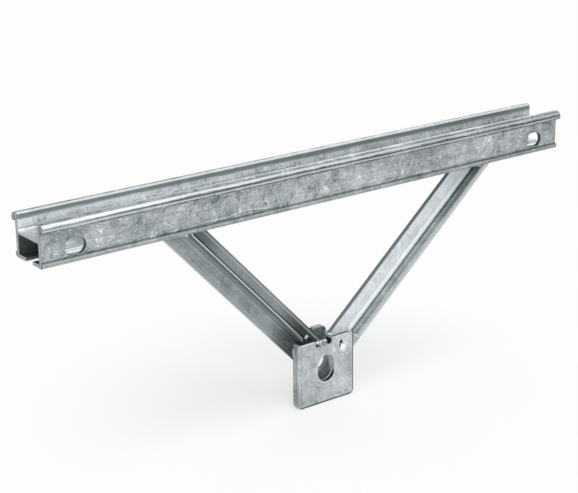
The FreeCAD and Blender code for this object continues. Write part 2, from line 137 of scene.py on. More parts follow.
def add_node(tree, kind, inputs=None, **settings):
    """A node with its settings and inputs; an input given as a socket is linked."""
    made = tree.nodes.new(kind)
    for name, value in settings.items():
        setattr(made, name, value)
    for name, value in (inputs or {}).items():
        socket = made.inputs[name]
        if isinstance(value, bpy.types.NodeSocket):
            tree.links.new(value, socket)
        else:
            socket.default_value = value
    return made


def maths(tree, operation, first, second=0.0, third=None):
    inputs = {0: first, 1: second}
    if third is not None:
        inputs[2] = third
    return add_node(tree, "ShaderNodeMath", inputs, operation=operation).outputs[0]


def vector_maths(tree, operation, first, second=None, scale=None):
    inputs = {0: first}
    if second is not None:
        inputs[1] = second
    if scale is not None:
        inputs["Scale"] = scale
    made = add_node(tree, "ShaderNodeVectorMath", inputs, operation=operation)
    return made.outputs["Value" if operation in ("DOT_PRODUCT", "LENGTH") else "Vector"]


def product(tree, *factors):
    result = factors[0]
    for factor in factors[1:]:
        result = maths(tree, "MULTIPLY", result, factor)
    return result


def ramp(tree, value, low, high, start=0.0, end=1.0, smooth=True):
    """The value mapped from low..high to start..end, held at both ends."""
    return add_node(tree, "ShaderNodeMapRange", {
        "Value": value, "From Min": low, "From Max": high, "To Min": start, "To Max": end},
        interpolation_type="SMOOTHSTEP" if smooth else "LINEAR").outputs["Result"]


def new_group(name, inputs, outputs):
    """A shader node group with named sockets; gives the tree, its inputs and its outputs."""
    tree = bpy.data.node_groups.new(name, "ShaderNodeTree")
    for direction, sockets in (("INPUT", inputs), ("OUTPUT", outputs)):
        for label, kind in sockets.items():
            tree.interface.new_socket(label, in_out=direction, socket_type="NodeSocket" + kind)
    return tree, tree.nodes.new("NodeGroupInput").outputs, tree.nodes.new("NodeGroupOutput").inputs


def make_coat_group():
    """Feathered crystals, clouds and grain of a hot-dip zinc coat, about a level of 0."""
    tree, given, result = new_group(
        "zinc_coat",
        {"Vector": "Vector", "Spangle Size": "Float", "Cloud Size": "Float", "Grain Size": "Float"},
        {"Level": "Float", "Height": "Float"})
    place, spangle = given["Vector"], given["Spangle Size"]

    def noise(vector, size, detail, roughness, distortion, offset=0.0):
        return add_node(tree, "ShaderNodeTexNoise", {
            "Vector": vector_maths(tree, "ADD", vector, (offset, offset, offset)),
            "Scale": maths(tree, "DIVIDE", 1.0, size), "Detail": detail,
            "Roughness": roughness, "Distortion": distortion}).outputs

    def share(part):
        return maths(tree, "MULTIPLY", spangle, part)

    # patches of crystals, each patch turned by a chance angle and drawn out along it
    wobble = vector_maths(tree, "SUBTRACT", noise(place, spangle, 1.0, 0.5, 0.0, 5.0)["Color"],
                          (0.5, 0.5, 0.5))
    warped = vector_maths(tree, "ADD", place,
                          vector_maths(tree, "SCALE", wobble, scale=share(1.5)))
    cells = add_node(tree, "ShaderNodeTexVoronoi", {
        "Vector": warped, "Scale": maths(tree, "DIVIDE", 1.0, spangle), "Smoothness": 0.35},
        feature="SMOOTH_F1")
    chance = add_node(
        tree, "ShaderNodeSeparateColor", {"Color": cells.outputs["Color"]}).outputs
    turned = add_node(tree, "ShaderNodeVectorRotate", {
        "Vector": warped, "Angle": maths(tree, "MULTIPLY", chance[0], 9.0)},
        rotation_type="Y_AXIS").outputs[0]
    drawn = vector_maths(tree, "MULTIPLY", turned, (0.22, 0.8, 1.0))
    thin = vector_maths(tree, "MULTIPLY", turned, (0.13, 0.8, 1.0))
    feather = noise(drawn, share(0.3), 3.0, 0.6, 0.9)["Fac"]
    lens = noise(thin, share(0.17), 1.0, 0.5, 0.5, 9.1)["Fac"]

    # clouds, grain and curling strokes that run over all patches
    cloud = noise(place, given["Cloud Size"], 3.0, 0.55, 0.8, 7.3)["Fac"]
    grain = noise(place, given["Grain Size"], 2.0, 0.6, 0.2, 1.7)["Fac"]
    swirl = noise(place, share(1.4), 2.0, 0.5, 3.0, 3.1)["Fac"]
    ridge = maths(tree, "ABSOLUTE", maths(tree, "SUBTRACT", swirl, 0.5))
    stroke = ramp(tree, ridge, 0.0, 0.035, 1.0, 0.0)

    level = maths(tree, "MULTIPLY", maths(tree, "SUBTRACT", feather, 0.5), 0.75)
    for part, weight in ((chance[1], 0.14), (cloud, 0.48), (grain, 0.26)):
        level = maths(tree, "MULTIPLY_ADD", maths(tree, "SUBTRACT", part, 0.5), weight, level)
    for part, weight in ((stroke, 0.05), (ramp(tree, lens, 0.58, 0.68), 0.15),
                         (ramp(tree, lens, 0.42, 0.32), -0.13)):
        level = maths(tree, "MULTIPLY_ADD", part, weight, level)
    height = maths(tree, "MULTIPLY_ADD", feather, 0.5, maths(tree, "MULTIPLY", grain, 0.22))
    height = maths(tree, "MULTIPLY_ADD", stroke, 0.1, height)
    tree.links.new(level, result["Level"])
    tree.links.new(height, result["Height"])
    return tree


def make_line_group():
    """Fine lines along the first axis, as rolling leaves them under the zinc, about 0."""
    tree, given, result = new_group(
        "roll_lines", {"Vector": "Vector", "Line Size": "Float"}, {"Line": "Float"})
    lines = add_node(tree, "ShaderNodeTexNoise", {
        "Vector": vector_maths(tree, "MULTIPLY", given["Vector"], (0.03, 1.0, 1.0)),
        "Scale": maths(tree, "DIVIDE", 1.0, given["Line Size"]),
        "Detail": 2.0, "Roughness": 0.6, "Distortion": 0.3})
    tree.links.new(maths(tree, "SUBTRACT", lines.outputs["Fac"], 0.5), result["Line"])
    return tree


def make_band_group():
    """1 where a value lies between two limits, with soft ends."""
    tree, given, result = new_group(
        "band", {"Value": "Float", "Low": "Float", "High": "Float", "Soft": "Float"},
        {"Mask": "Float"})
    value, low, high, soft = (given[name] for name in ("Value", "Low", "High", "Soft"))
    rise = ramp(tree, value, maths(tree, "SUBTRACT", low, soft), maths(tree, "ADD", low, soft))
    fall = ramp(tree, value, maths(tree, "SUBTRACT", high, soft), maths(tree, "ADD", high, soft),
                1.0, 0.0)
    tree.links.new(maths(tree, "MULTIPLY", rise, fall), result["Mask"])
    return tree


def make_colour_group():
    """A cool grey of the given screen level, greener where dark and bluer where light."""
    tree, given, result = new_group("zinc_grey", {"Level": "Float"}, {"Color": "Color"})
    held = maths(tree, "MINIMUM", maths(tree, "MAXIMUM", given["Level"], 0.02), 0.97)
    light = maths(tree, "POWER", held, 2.2)
    red = ramp(tree, held, 0.12, 0.75, 0.72, 0.96, smooth=False)
    blue = ramp(tree, held, 0.12, 0.6, 0.95, 1.015, smooth=False)
    mixed = add_node(tree, "ShaderNodeCombineColor", {
        0: maths(tree, "MULTIPLY", light, red), 1: light, 2: maths(tree, "MULTIPLY", light, blue)})
    tree.links.new(mixed.outputs[0], result["Color"])
    return tree


GROUP_MAKERS = {"zinc_coat": make_coat_group, "roll_lines": make_line_group,
                "band": make_band_group, "zinc_grey": make_colour_group}


def group_node(tree, name, inputs):
    group = bpy.data.node_groups.get(name) or GROUP_MAKERS[name]()
    return add_node(tree, "ShaderNodeGroup", inputs, node_tree=group).outputs


class Zinc:
    """One galvanised finish, built up as a screen level over the surface."""

    def __init__(self, name, level, settings, run=(1.0, 0.0, 0.0), across=(0.0, 0.0, 1.0),
                 coat=1.0, lines=0.1, spangle=1.0):
        self.material = bpy.data.materials.new(name)
        self.material.use_nodes = True
        self.tree = tree = self.material.node_tree
        tree.nodes.clear()
        place = add_node(tree, "ShaderNodeTexCoord").outputs["Object"]
        self.x, self.y, self.z = add_node(tree, "ShaderNodeSeparateXYZ", {"Vector": place}).outputs
        self.along = vector_maths(tree, "DOT_PRODUCT", place, run)
        self.across = vector_maths(tree, "DOT_PRODUCT", place, across)
        own = add_node(
            tree, "ShaderNodeCombineXYZ", {0: self.along, 1: self.y, 2: self.across}).outputs[0]
        skin = group_node(tree, "zinc_coat", {
            "Vector": own, "Spangle Size": settings.spangle_size * spangle,
            "Cloud Size": settings.cloud_size, "Grain Size": settings.grain_size})
        self.coat, self.height = skin["Level"], skin["Height"]
        self.line = group_node(
            tree, "roll_lines", {"Vector": own, "Line Size": settings.grain_size})["Line"]
        self.level = maths(tree, "MULTIPLY_ADD", self.coat, coat, level)
        self.level = maths(tree, "MULTIPLY_ADD", self.line, lines, self.level)
        self.relief = settings.relief
        self.glow = self.stain = None

    def band(self, value, low, high, soft=SOFT):
        return group_node(self.tree, "band", {
            "Value": value, "Low": low, "High": high, "Soft": soft})["Mask"]

    def above(self, value, low, soft=SOFT):
        return self.band(value, low, FAR, soft)

    def below(self, value, high, soft=SOFT):
        return self.band(value, -FAR, high, soft)

    def stripe(self, value, middle, half, soft=SOFT):
        return self.band(value, middle - half, middle + half, soft)

    def wavy(self, value, amount):
        """The value pushed about by the coat, for uneven edges."""
        return maths(self.tree, "MULTIPLY_ADD", self.coat, amount, value)

    def shift(self, amount, *masks):
        """Adds an amount to the level where all the masks hold."""
        mask = product(self.tree, *masks)
        self.level = maths(self.tree, "MULTIPLY_ADD", mask, amount, self.level)

    def towards(self, level, share, *masks):
        """Draws the level towards another where all the masks hold."""
        away = maths(self.tree, "SUBTRACT", level, self.level)
        self.shift(share, away, *masks)

    def stripes(self, value, share, rows, *masks, soft=SOFT):
        """Draws the level towards each row's own, between the row's low and high limits."""
        for low, high, level in rows:
            self.towards(level, share, self.band(value, low, high, soft), *masks)

    def capsule(self, middle, half_across, half_up, radius, across=None):
        """Distance outside a round-ended outline in the XZ plane."""
        tree = self.tree
        across = self.x if across is None else across
        squares = []
        for value, centre, half in ((across, middle[0], half_across), (self.z, middle[1], half_up)):
            away = maths(tree, "ABSOLUTE", maths(tree, "SUBTRACT", value, centre))
            gap = maths(tree, "MAXIMUM", maths(tree, "SUBTRACT", away, half), 0.0)
            squares.append(maths(tree, "POWER", gap, 2.0))
        reach = maths(tree, "SQRT", maths(tree, "ADD", *squares))
        return maths(tree, "SUBTRACT", reach, radius)

    def finish(self, metallic=0.35, rough=(0.52, 0.36)):
        tree = self.tree
        colour = group_node(tree, "zinc_grey", {"Level": self.level})["Color"]
        if self.stain is not None:
            colour = add_node(tree, "ShaderNodeMix", {
                MIX_SHARE: self.stain, MIX_FIRST: colour, MIX_SECOND: STAIN},
                data_type="RGBA").outputs[MIX_RESULT]
        bump = add_node(tree, "ShaderNodeBump", {
            "Strength": 0.35, "Distance": self.relief, "Height": self.height})
        shader = add_node(tree, "ShaderNodeBsdfPrincipled", {
            "Base Color": colour, "Metallic": metallic,
            "Roughness": ramp(tree, self.level, 0.4, 0.9, *rough, smooth=False),
            "Normal": bump.outputs["Normal"]})
        # a painted glow, where a finish has one
        if self.glow is not None:
            glow_colour = group_node(tree, "zinc_grey", {"Level": self.glow})["Color"]
            tree.links.new(glow_colour, shader.inputs["Emission Color"])
            shader.inputs["Emission Strength"].default_value = PAINTED_GLOW
        add_node(tree, "ShaderNodeOutputMaterial", {"Surface": shader.outputs["BSDF"]})
        return self.material


def shade_pockets(zinc, where):
    """Paints shade into the two pockets in the plate's notch, at either side of the braces'
    meeting.
    """
    for place, radius in POCKETS:
        pocket = zinc.wavy(zinc.capsule(place, 0.0, 0.0, radius), 0.003)
        zinc.towards(0.05, 0.92, where, zinc.below(pocket, 0.0, 0.0006))


def wear(node, material):
    slots = NODES[node].data.materials
    slots.clear()
    slots.append(material)


def slope_of(side):
    return math.atan2(RAIL_FOOT, REACH[side])


class CROSSARM_OT_finish_rail(bpy.types.Operator):
    """Gives the rail its zinc coat, with lines along its beads and feet, and painted light and
    shade on it
    """
    bl_idname = "crossarm.finish_rail"
    bl_label = "Finish Rail"

    def execute(self, context):
        zinc = Zinc("rail_zinc", 0.66, context.scene.cross_arm, coat=0.88, lines=0.25)
        tree = zinc.tree
        zinc.away = maths(tree, "ABSOLUTE", maths(tree, "SUBTRACT", zinc.y, RAIL_MIDDLE))
        zinc.front = ramp(tree, zinc.y, RAIL_MIDDLE - 0.001, RAIL_MIDDLE + 0.001, 1.0, 0.0)
        zinc.rightward = ramp(tree, zinc.x, -0.35, 0.4, smooth=False)
        zinc.inside = zinc.below(zinc.away, WALL_IN + NEAR)
        zinc.outside = zinc.above(zinc.away, WALL_OUT - NEAR)
        zinc.wall = zinc.band(zinc.away, WALL_OUT - NEAR, WALL_OUT + 0.0006)
        self.finish_trough(zinc)
        self.finish_channel(zinc)
        self.finish_beads(zinc)
        self.finish_feet(zinc)
        self.mark_wall(zinc)
        self.finish_ends(zinc)
        self.finish_slots(zinc)
        wear("rail", zinc.finish())
        return {"FINISHED"}

    def finish_trough(self, zinc):
        """The trough: painted light inside, darker to the right, a painted highlight on the rim, a
        ragged dark line below it and painted shade just above the web.
        """
        inside, uneven = zinc.inside, zinc.wavy(zinc.z, 0.005)
        trough = zinc.band(zinc.z, WEB_TOP - NEAR, RAIL_TOP - 0.0012, SHARP)
        # painted light over the trough's inside, where the walls shade it
        zinc.shift(0.17, inside, trough)
        zinc.shift(-0.13, inside, trough, zinc.rightward)
        zinc.shift(0.08, inside, zinc.band(uneven, RAIL_TOP - 0.0155, RAIL_TOP - 0.0090, 0.0012))
        # a painted highlight on the top rims of the walls
        zinc.towards(0.97, 0.8, zinc.below(zinc.away, WALL_IN + 0.0022),
                     zinc.above(zinc.z, RAIL_TOP - 0.0019, 0.0005))
        ragged = maths(zinc.tree, "MULTIPLY_ADD", zinc.line, 0.010, uneven)
        zinc.towards(0.47, 0.8, inside, zinc.band(zinc.z, RAIL_TOP - 0.0105, RAIL_TOP - 0.0023),
                     zinc.above(ragged, RAIL_TOP - 0.0075, 0.0014))
        # painted shade on the walls just above the web
        zinc.towards(0.45, 0.7, inside, zinc.band(zinc.z, WEB_TOP + 0.0024, WEB_TOP + 0.0034))

    def finish_channel(self, zinc):
        """The channel below the web: painted shade at its left end, painted light and a painted
        glow behind the left slot, and painted light at its right end.
        """
        tree = zinc.tree
        channel = product(tree, zinc.inside,
                          zinc.band(zinc.z, RAIL_FOOT + 0.0012, WEB_LOW + NEAR, SHARP))
        zinc.towards(0.2, 0.75, channel, ramp(tree, zinc.x, 0.005 - SLOT_SIDE, -0.010 - SLOT_SIDE))
        seen = product(tree, channel, zinc.band(zinc.x, -SLOT_SIDE, 0.070 - SLOT_SIDE, 0.006))
        zinc.towards(0.92, 0.9, seen)
        zinc.glow = maths(tree, "MULTIPLY", seen, maths(tree, "MULTIPLY_ADD", zinc.line, 3.0, 0.33))
        zinc.towards(0.97, 0.9, channel, ramp(tree, zinc.x, SLOT_SIDE + 0.028, SLOT_SIDE + 0.034))

    def finish_beads(self, zinc):
        """The curled beads: a darker top and right end as painted shade, a painted highlight on the
        shoulder, then lines of painted dark reflection, highlight and shade, and a painted shadow
        on the wall below.
        """
        tree = zinc.tree
        bead = zinc.above(zinc.away, WALL_OUT + 0.0012)
        zinc.shift(-0.06, zinc.above(zinc.z, RAIL_TOP - 0.0018, 0.0006), zinc.outside)
        zinc.shift(-0.08, bead, zinc.rightward)
        drawn = maths(tree, "MULTIPLY_ADD", zinc.line, 0.0030, zinc.wavy(zinc.z, 0.0010))
        leftmost = ramp(tree, zinc.x, -0.26, -0.42)
        shoulder = maths(tree, "MULTIPLY_ADD", leftmost, -0.0022, BEAD_TIP + 0.0076)
        bright = maths(tree, "MULTIPLY_ADD", zinc.rightward, -0.16, 0.98)
        dark = maths(tree, "MULTIPLY_ADD", leftmost, 0.22, 0.32)
        zinc.stripes(drawn, 0.85, ((shoulder, BEAD_TIP + 0.0099, bright),
                                   (BEAD_TIP + 0.0044, BEAD_TIP + 0.0064, dark)), bead, soft=0.0005)
        zinc.stripes(drawn, 0.85, ((BEAD_TIP + 0.0020, BEAD_TIP + 0.0038, 0.76),
                                   (BEAD_TIP - 0.0020, BEAD_TIP + 0.0012, 0.30)), bead, soft=0.0004)
        zinc.towards(0.32, 0.75, zinc.wall, zinc.band(
            zinc.wavy(zinc.z, 0.006), BEAD_TIP - 0.0028, BEAD_TIP + 0.0005, 0.0006))

    def finish_feet(self, zinc):
        """Light and dark lines along the foot bands, and a painted shadow line on the wall above
        them.
        """
        foot = zinc.above(zinc.away, WALL_OUT + 0.0003)
        zinc.waves = zinc.wavy(zinc.z, 0.0012)
        for rise, level in ((0.0002, 0.46), (-0.0020, 0.70), (-0.0040, 0.52), (-0.0060, 0.72)):
            zinc.towards(level, 0.55, foot,
                         zinc.stripe(zinc.waves, FOOT_TOP + rise, 0.0006, 0.0006))
        # a painted shadow line on the wall just above the foot
        zinc.shift(-0.16, zinc.wall, zinc.stripe(zinc.waves, FOOT_TOP + 0.0006, 0.0008, 0.0006))

    def mark_wall(self, zinc):
        """A frozen run over the foot, a faint seam and two brownish specks, at the front."""
        tree = zinc.tree
        wall = product(tree, zinc.wall, zinc.front)
        rise = maths(tree, "ADD", ramp(tree, zinc.x, -0.180, -0.140, 0.0, 0.0034),
                     ramp(tree, zinc.x, -0.135, -0.110, 0.0, -0.0030))
        run = maths(tree, "SUBTRACT", zinc.waves, rise)
        stretch = zinc.band(zinc.x, *RUN_ENDS, 0.012)
        for height, amount in ((0.0023, -0.26), (0.0037, 0.20)):
            zinc.shift(amount, wall, stretch, zinc.stripe(run, FOOT_TOP + height, 0.0005))
        zinc.shift(0.07, wall, zinc.band(zinc.wavy(zinc.x, 0.002), *SEAM))
        specks = 0.0
        for place in SPECKS:
            speck = zinc.wavy(zinc.capsule(place, 0.0004, 0.0014, 0.0016), 0.006)
            specks = maths(tree, "ADD", specks, zinc.below(speck, 0.0, 0.0010))
        zinc.stain = product(tree, wall, specks, 0.55)

    def finish_ends(self, zinc):
        """The cut ends in painted light, with painted shade along their edges and in the gap where
        the beads curl in.
        """
        away = zinc.away
        ends = zinc.above(maths(zinc.tree, "ABSOLUTE", zinc.x), RAIL_HIGH.x - 0.0003, 0.0001)
        zinc.towards(0.78, 0.8, ends)
        zinc.stripes(away, 0.7, ((WALL_OUT - 0.0013, WALL_OUT, 0.42),
                                 (WALL_IN, WALL_IN + 0.0013, 0.42)), ends)
        zinc.towards(0.55, 0.6, ends, zinc.above(away, WALL_OUT + 0.0006),
                     zinc.above(zinc.z, BEAD_TIP))
        zinc.towards(0.2, 0.85, ends, zinc.band(away, WALL_OUT + 0.0002, WALL_OUT + 0.0022),
                     zinc.below(zinc.z, BEAD_TIP + 0.0062, 0.0008))

    def finish_slots(self, zinc):
        """The slots' rims in painted shade in front, and painted shade on the right wall inside
        each slot.
        """
        tree = zinc.tree
        side = maths(tree, "MULTIPLY", maths(tree, "SIGN", zinc.x), SLOT_SIDE)
        beside = maths(tree, "SUBTRACT", zinc.x, side)
        slot = zinc.capsule((0.0, SLOT_LEVEL), SLOT_HALF, 0.0, SLOT_RADIUS, across=beside)
        zinc.towards(0.42, 0.7, zinc.outside, zinc.band(slot, -0.0003, 0.0007), zinc.front)
        zinc.towards(0.3, 0.85, zinc.below(slot, 0.0002, 0.0001),
                     ramp(tree, beside, 0.004, 0.010), zinc.above(zinc.away, WALL_IN + NEAR))


class CROSSARM_OT_finish_braces(bpy.types.Operator):
    """Gives both braces their zinc coats, with lines and painted light and shade along their length
    """
    bl_idname = "crossarm.finish_braces"
    bl_label = "Finish Braces"

    def execute(self, context):
        settings = context.scene.cross_arm
        # painted light: the right brace has a lighter base level than the left, on the same zinc
        self.finish_left(self.start("left", 0.6, settings))
        self.finish_right(self.start("right", 0.89, settings))
        return {"FINISHED"}

    def start(self, side, level, settings):
        """A finish with .out across the flange, away from the other brace, and .flat, its face."""
        sign, slope = SIGN[side], slope_of(side)
        run = (sign * math.cos(slope), 0.0, math.sin(slope))
        outward = (sign * math.sin(slope), 0.0, -math.cos(slope))
        zinc = Zinc(side + "_brace_zinc", level, settings, run, outward, coat=0.42, lines=0.3)
        zinc.out = maths(zinc.tree, "SUBTRACT", zinc.across, DROP[side])
        zinc.flat = zinc.band(zinc.y, BRACE_FACE - 0.0008, BRACE_FACE + 0.0006, SHARP)
        return zinc

    def finish_left(self, zinc):
        tree, half = zinc.tree, TEE_HALF["left"]
        # painted highlight and shade lines along the flange's outer edge
        zinc.stripes(zinc.out, 0.75, ((half - 0.0015, FAR, 0.74),
                                      (half - 0.0028, half - 0.0018, 0.52),
                                      (half - 0.0046, half - 0.0031, 0.72)), zinc.flat)

        # the stem's lower side in painted shade, then the flange above it with painted shade
        # darkest in the corner, at the foot and under the rail, and painted highlight and shade
        # lines along its inner edge
        side = zinc.band(zinc.out, STEM_HALF - 0.0006, STEM_HALF + 0.0020)
        zinc.towards(0.60, 0.6, side, zinc.below(zinc.y, BRACE_FACE - 0.0002))
        zinc.shift(-0.2, side, zinc.below(zinc.y, BRACE_TOE + 0.0045, 0.0015))
        zinc.towards(0.54, 0.55, zinc.flat, zinc.below(zinc.out, -0.008))
        zinc.towards(0.30, 0.8, zinc.flat, zinc.band(zinc.out, -0.0095, -0.003, 0.0008))
        foot = ramp(tree, zinc.along, 0.13, 0.06)
        zinc.shift(-0.34, foot)
        zinc.shift(-0.16, zinc.flat, ramp(tree, zinc.along, 0.25, 0.32),
                   ramp(tree, zinc.out, 0.0, -0.002))
        zinc.stripes(zinc.out, 0.7, ((0.0012 - half, 0.0030 - half, 0.50),
                                     (0.0032 - half, 0.0052 - half, 0.72)), zinc.flat)

        # the stem's toe in painted shade with its painted highlight line, dimmer at the foot, and a
        # painted glint in the corner
        toe = zinc.below(zinc.y, BRACE_TOE + 0.0009, SHARP)
        zinc.towards(0.38, 0.9, toe)
        lit = maths(tree, "MULTIPLY_ADD", foot, -0.38, 0.86)
        zinc.towards(lit, 0.95, toe, zinc.band(zinc.out, -0.0023, -0.0006))
        zinc.towards(0.97, 0.9, zinc.flat, zinc.band(zinc.along, 0.0480, 0.0535, 0.0008),
                     zinc.band(zinc.out, -0.0150, -0.0085, 0.0008))
        self.finish_middle(zinc)
        wear("left_brace", zinc.finish())

    def finish_right(self, zinc):
        # painted shade on the flange's upper edge, and a painted highlight on the flange beside the
        # stem
        zinc.towards(0.40, 0.9, zinc.below(zinc.out, 0.0020 - TEE_HALF["right"]))
        zinc.towards(0.84, 0.8, zinc.flat, zinc.band(zinc.out, -0.0068, -0.0042))

        # the stem's upper side in painted shade, deeper up the brace under the rail, with a painted
        # highlight along the flange
        stem = zinc.stripe(zinc.out, -STEM_HALF, 0.0012)
        side = product(zinc.tree, stem,
                       zinc.band(zinc.y, BRACE_TOE + 0.0008, BRACE_FACE - 0.0060, 0.0004))
        zinc.shift(-0.25, side)
        zinc.shift(-0.22, stem, zinc.band(zinc.y, BRACE_FACE - 0.0105, BRACE_FACE - 0.0066, 0.0009))
        zinc.shift(-0.08, stem, zinc.band(zinc.y, BRACE_TOE + 0.0040, BRACE_TOE + 0.0075, 0.0012))
        zinc.shift(-0.16, side, ramp(zinc.tree, zinc.along, 0.24, 0.33))
        zinc.towards(0.90, 0.9, stem, zinc.band(zinc.y, BRACE_FACE - 0.0056, BRACE_FACE, 0.0004))

        # the stem's toe with painted shade and highlight lines, and the flange below it in painted
        # shade
        zinc.stripes(zinc.out, 0.9, ((-FAR, -0.0010, 0.66), (-0.0010, 0.0002, 0.46),
                                     (0.0002, 0.0018, 0.88), (0.0018, FAR, 0.58)),
                     zinc.below(zinc.y, BRACE_TOE + 0.0006, SHARP), soft=SHARP)
        zinc.towards(0.70, 0.8, zinc.above(zinc.out, STEM_HALF), zinc.flat)
        self.finish_middle(zinc)
        wear("right_brace", zinc.finish(metallic=0.1))

    def finish_middle(self, zinc):
        """Paints shade and light on what shows of a brace through the plate's eye and notch."""
        bolt = zinc.capsule((0.0, 0.0), 0.0, 0.0, 0.0)
        zinc.towards(0.36, 0.9, zinc.below(bolt, 0.028))
        zinc.towards(0.66, 0.8, zinc.below(bolt, EYE_RADIUS + 0.0003, SHARP),
                     ramp(zinc.tree, zinc.z, -0.006, 0.002))
        shade_pockets(zinc, zinc.below(zinc.y, BRACE_FACE + NEAR))


class CROSSARM_OT_finish_plate(bpy.types.Operator):
    """Gives the thick plate and the eye lug their zinc coats"""
    bl_idname = "crossarm.finish_plate"
    bl_label = "Finish Plate"

    def execute(self, context):
        settings = context.scene.cross_arm
        plate = Zinc("plate_zinc", 0.70, settings, coat=0.5, lines=0.06, spangle=1.2)
        plate.face = plate.below(plate.y, PLATE_LOW.y + 0.0009, SHARP)
        plate.shift(0.07, ramp(plate.tree, plate.x, -0.02, 0.05),
                    ramp(plate.tree, plate.z, -0.02, 0.03))
        self.finish_eye(plate)
        self.finish_notch(plate)
        self.finish_rims(plate)
        self.finish_side(plate)
        self.finish_vent(plate)
        wear("front_plate", plate.finish())

        # the lug: a dark base as painted shade between the braces, a painted highlight on its top
        # and a lighter middle band
        lug = Zinc("lug_zinc", 0.38, settings, coat=0.4, lines=0.05)
        lug.towards(0.66, 0.8, lug.above(lug.z, LUG_HIGH.z - 0.0012, 0.0004))
        lug.towards(0.62, 0.8, lug.band(lug.z, -0.02, 0.03, 0.004))
        wear("eye_lug", lug.finish())
        return {"FINISHED"}

    def finish_eye(self, plate):
        """The eye's painted highlight ring, the faint arcs and scratches about it, and its inner
        wall in painted light and shade.
        """
        tree, face, front = plate.tree, plate.face, PLATE_LOW.y
        eye = plate.capsule((0.0, -EYE_DROP / 2), 0.0, EYE_DROP / 2, EYE_RADIUS)
        plate.towards(0.84, 0.7, plate.band(eye, 0.0, 0.0014), plate.below(plate.y, front + 0.0014))
        low_left = ramp(tree, maths(tree, "ADD", plate.x, plate.z), 0.012, -0.012)
        for reach, amount in ((0.0068, -0.10), (0.0078, 0.07), (0.0118, -0.12)):
            plate.shift(amount, face, low_left, plate.stripe(plate.wavy(eye, 0.004), reach, 0.0004))
        slant = maths(tree, "SUBTRACT", plate.z, maths(tree, "MULTIPLY", plate.x, 0.9))
        for place, low, high in ((-0.030, 0.022, 0.042), (-0.036, 0.030, 0.046),
                                 (0.062, -0.042, -0.034)):
            scratch = plate.stripe(plate.wavy(slant, 0.002), place, 0.0005)
            plate.shift(-0.14, face, scratch, plate.band(plate.x, low, high, 0.002))

        within = plate.below(eye, 0.0004, 0.0001)
        plate.towards(0.34, 0.85, within, ramp(tree, plate.z, -0.008, -0.020))
        plate.towards(0.84, 0.8, within, ramp(tree, plate.x, 0.004, 0.010),
                      ramp(tree, plate.z, -0.018, 0.002))
        plate.towards(0.15, 0.8, within, ramp(tree, plate.z, -0.012, -0.018),
                      plate.below(plate.y, front + 0.0055))
        plate.towards(0.97, 0.9, within, ramp(tree, plate.z, -0.008, -0.014),
                      plate.band(plate.y, front + 0.0058, front + 0.0080))

    def finish_notch(self, plate):
        """Painted shade in the notch's pockets and on its right wall."""
        shade_pockets(plate, plate.above(plate.y, PLATE_LOW.y + 0.0020))
        plate.towards(0.06, 0.9, plate.above(plate.y, PLATE_LOW.y + 0.0016),
                      plate.band(plate.x, 0.0099, 0.0115, SHARP),
                      plate.band(plate.z, 0.030, 0.0372))

    def finish_rims(self, plate):
        """Painted shade on the rounded rims at the right and below, a painted highlight at the
        top-left, and the top in painted light right of the notch and painted shade left of it and
        along its front.
        """
        tree, face = plate.tree, plate.face
        plate.towards(0.22, 0.85, plate.above(plate.x, PLATE_HIGH.x - 0.0028, 0.0006))
        plate.towards(0.16, 0.9, plate.below(plate.z, PLATE_LOW.z + 0.0026, 0.0006))
        plate.towards(0.92, 0.8, face, ramp(tree, plate.x, -0.018, -0.026), plate.band(
            plate.z, PLATE_HIGH.z - 0.0030, PLATE_HIGH.z - 0.0012, 0.0005))
        top = plate.above(plate.z, PLATE_HIGH.z - 0.0008)
        plate.towards(0.82, 0.9, top, ramp(tree, plate.x, 0.010, 0.012))
        plate.towards(0.12, 0.9, top, ramp(tree, plate.x, 0.010, 0.008))
        plate.towards(0.30, 0.9, top, plate.below(plate.y, PLATE_LOW.y + 0.0030, 0.0004),
                      plate.band(plate.x, 0.008, 0.042, 0.001))

    def finish_side(self, plate):
        """Painted shade beside the left edge and on the left side, painted light and shade lines
        along the left side, and painted highlights near both side edges of the face.
        """
        face = plate.face
        plate.towards(0.46, 0.7, face,
                      plate.band(plate.x, PLATE_LOW.x + 0.0030, PLATE_LOW.x + 0.0044))
        left = plate.below(plate.x, PLATE_LOW.x + 0.0006, SHARP)
        plate.shift(-0.07, left)
        for depth, amount in ((0.0120, -0.10), (0.0095, 0.08), (0.0055, -0.07), (0.0025, 0.13)):
            line = plate.stripe(plate.wavy(plate.y, 0.0012), PLATE_LOW.y + depth, 0.0006, 0.0005)
            plate.shift(amount, left, line)
        plate.shift(0.10, face, plate.band(
            maths(plate.tree, "ABSOLUTE", plate.x), PLATE_HIGH.x - 0.0034, PLATE_HIGH.x - 0.0018,
            0.0004))

    def finish_vent(self, plate):
        """The vent hole: a pale patch about it, its point and wall in painted shade, and its lower
        wall in painted light with a painted glow.
        """
        tree = plate.tree
        dimple = plate.capsule((VENT_SIDE + 0.0015, VENT_LEVEL - 0.0020), 0.0, 0.0012, 0.0)
        plate.towards(0.93, 0.85, plate.face,
                      plate.below(plate.wavy(dimple, 0.003), 0.0056, 0.0020))
        point = plate.capsule((VENT_SIDE - 0.0030, VENT_LEVEL + 0.0042), 0.0, 0.0034, 0.0026)
        plate.towards(0.05, 0.95, plate.below(point, 0.0, 0.0004))
        hole = plate.capsule((VENT_SIDE, VENT_LEVEL), 0.0, 0.003, 0.0046)
        bore = product(tree, plate.below(hole, 0.0006),
                       plate.above(plate.y, PLATE_LOW.y + 0.0004, SHARP))
        lower = ramp(tree, plate.z, VENT_LEVEL + 0.0022, VENT_LEVEL + 0.0006)
        plate.towards(0.05, 0.95, bore)
        plate.towards(0.93, 0.95, bore, lower)
        plate.glow = product(tree, bore, lower, 0.85)


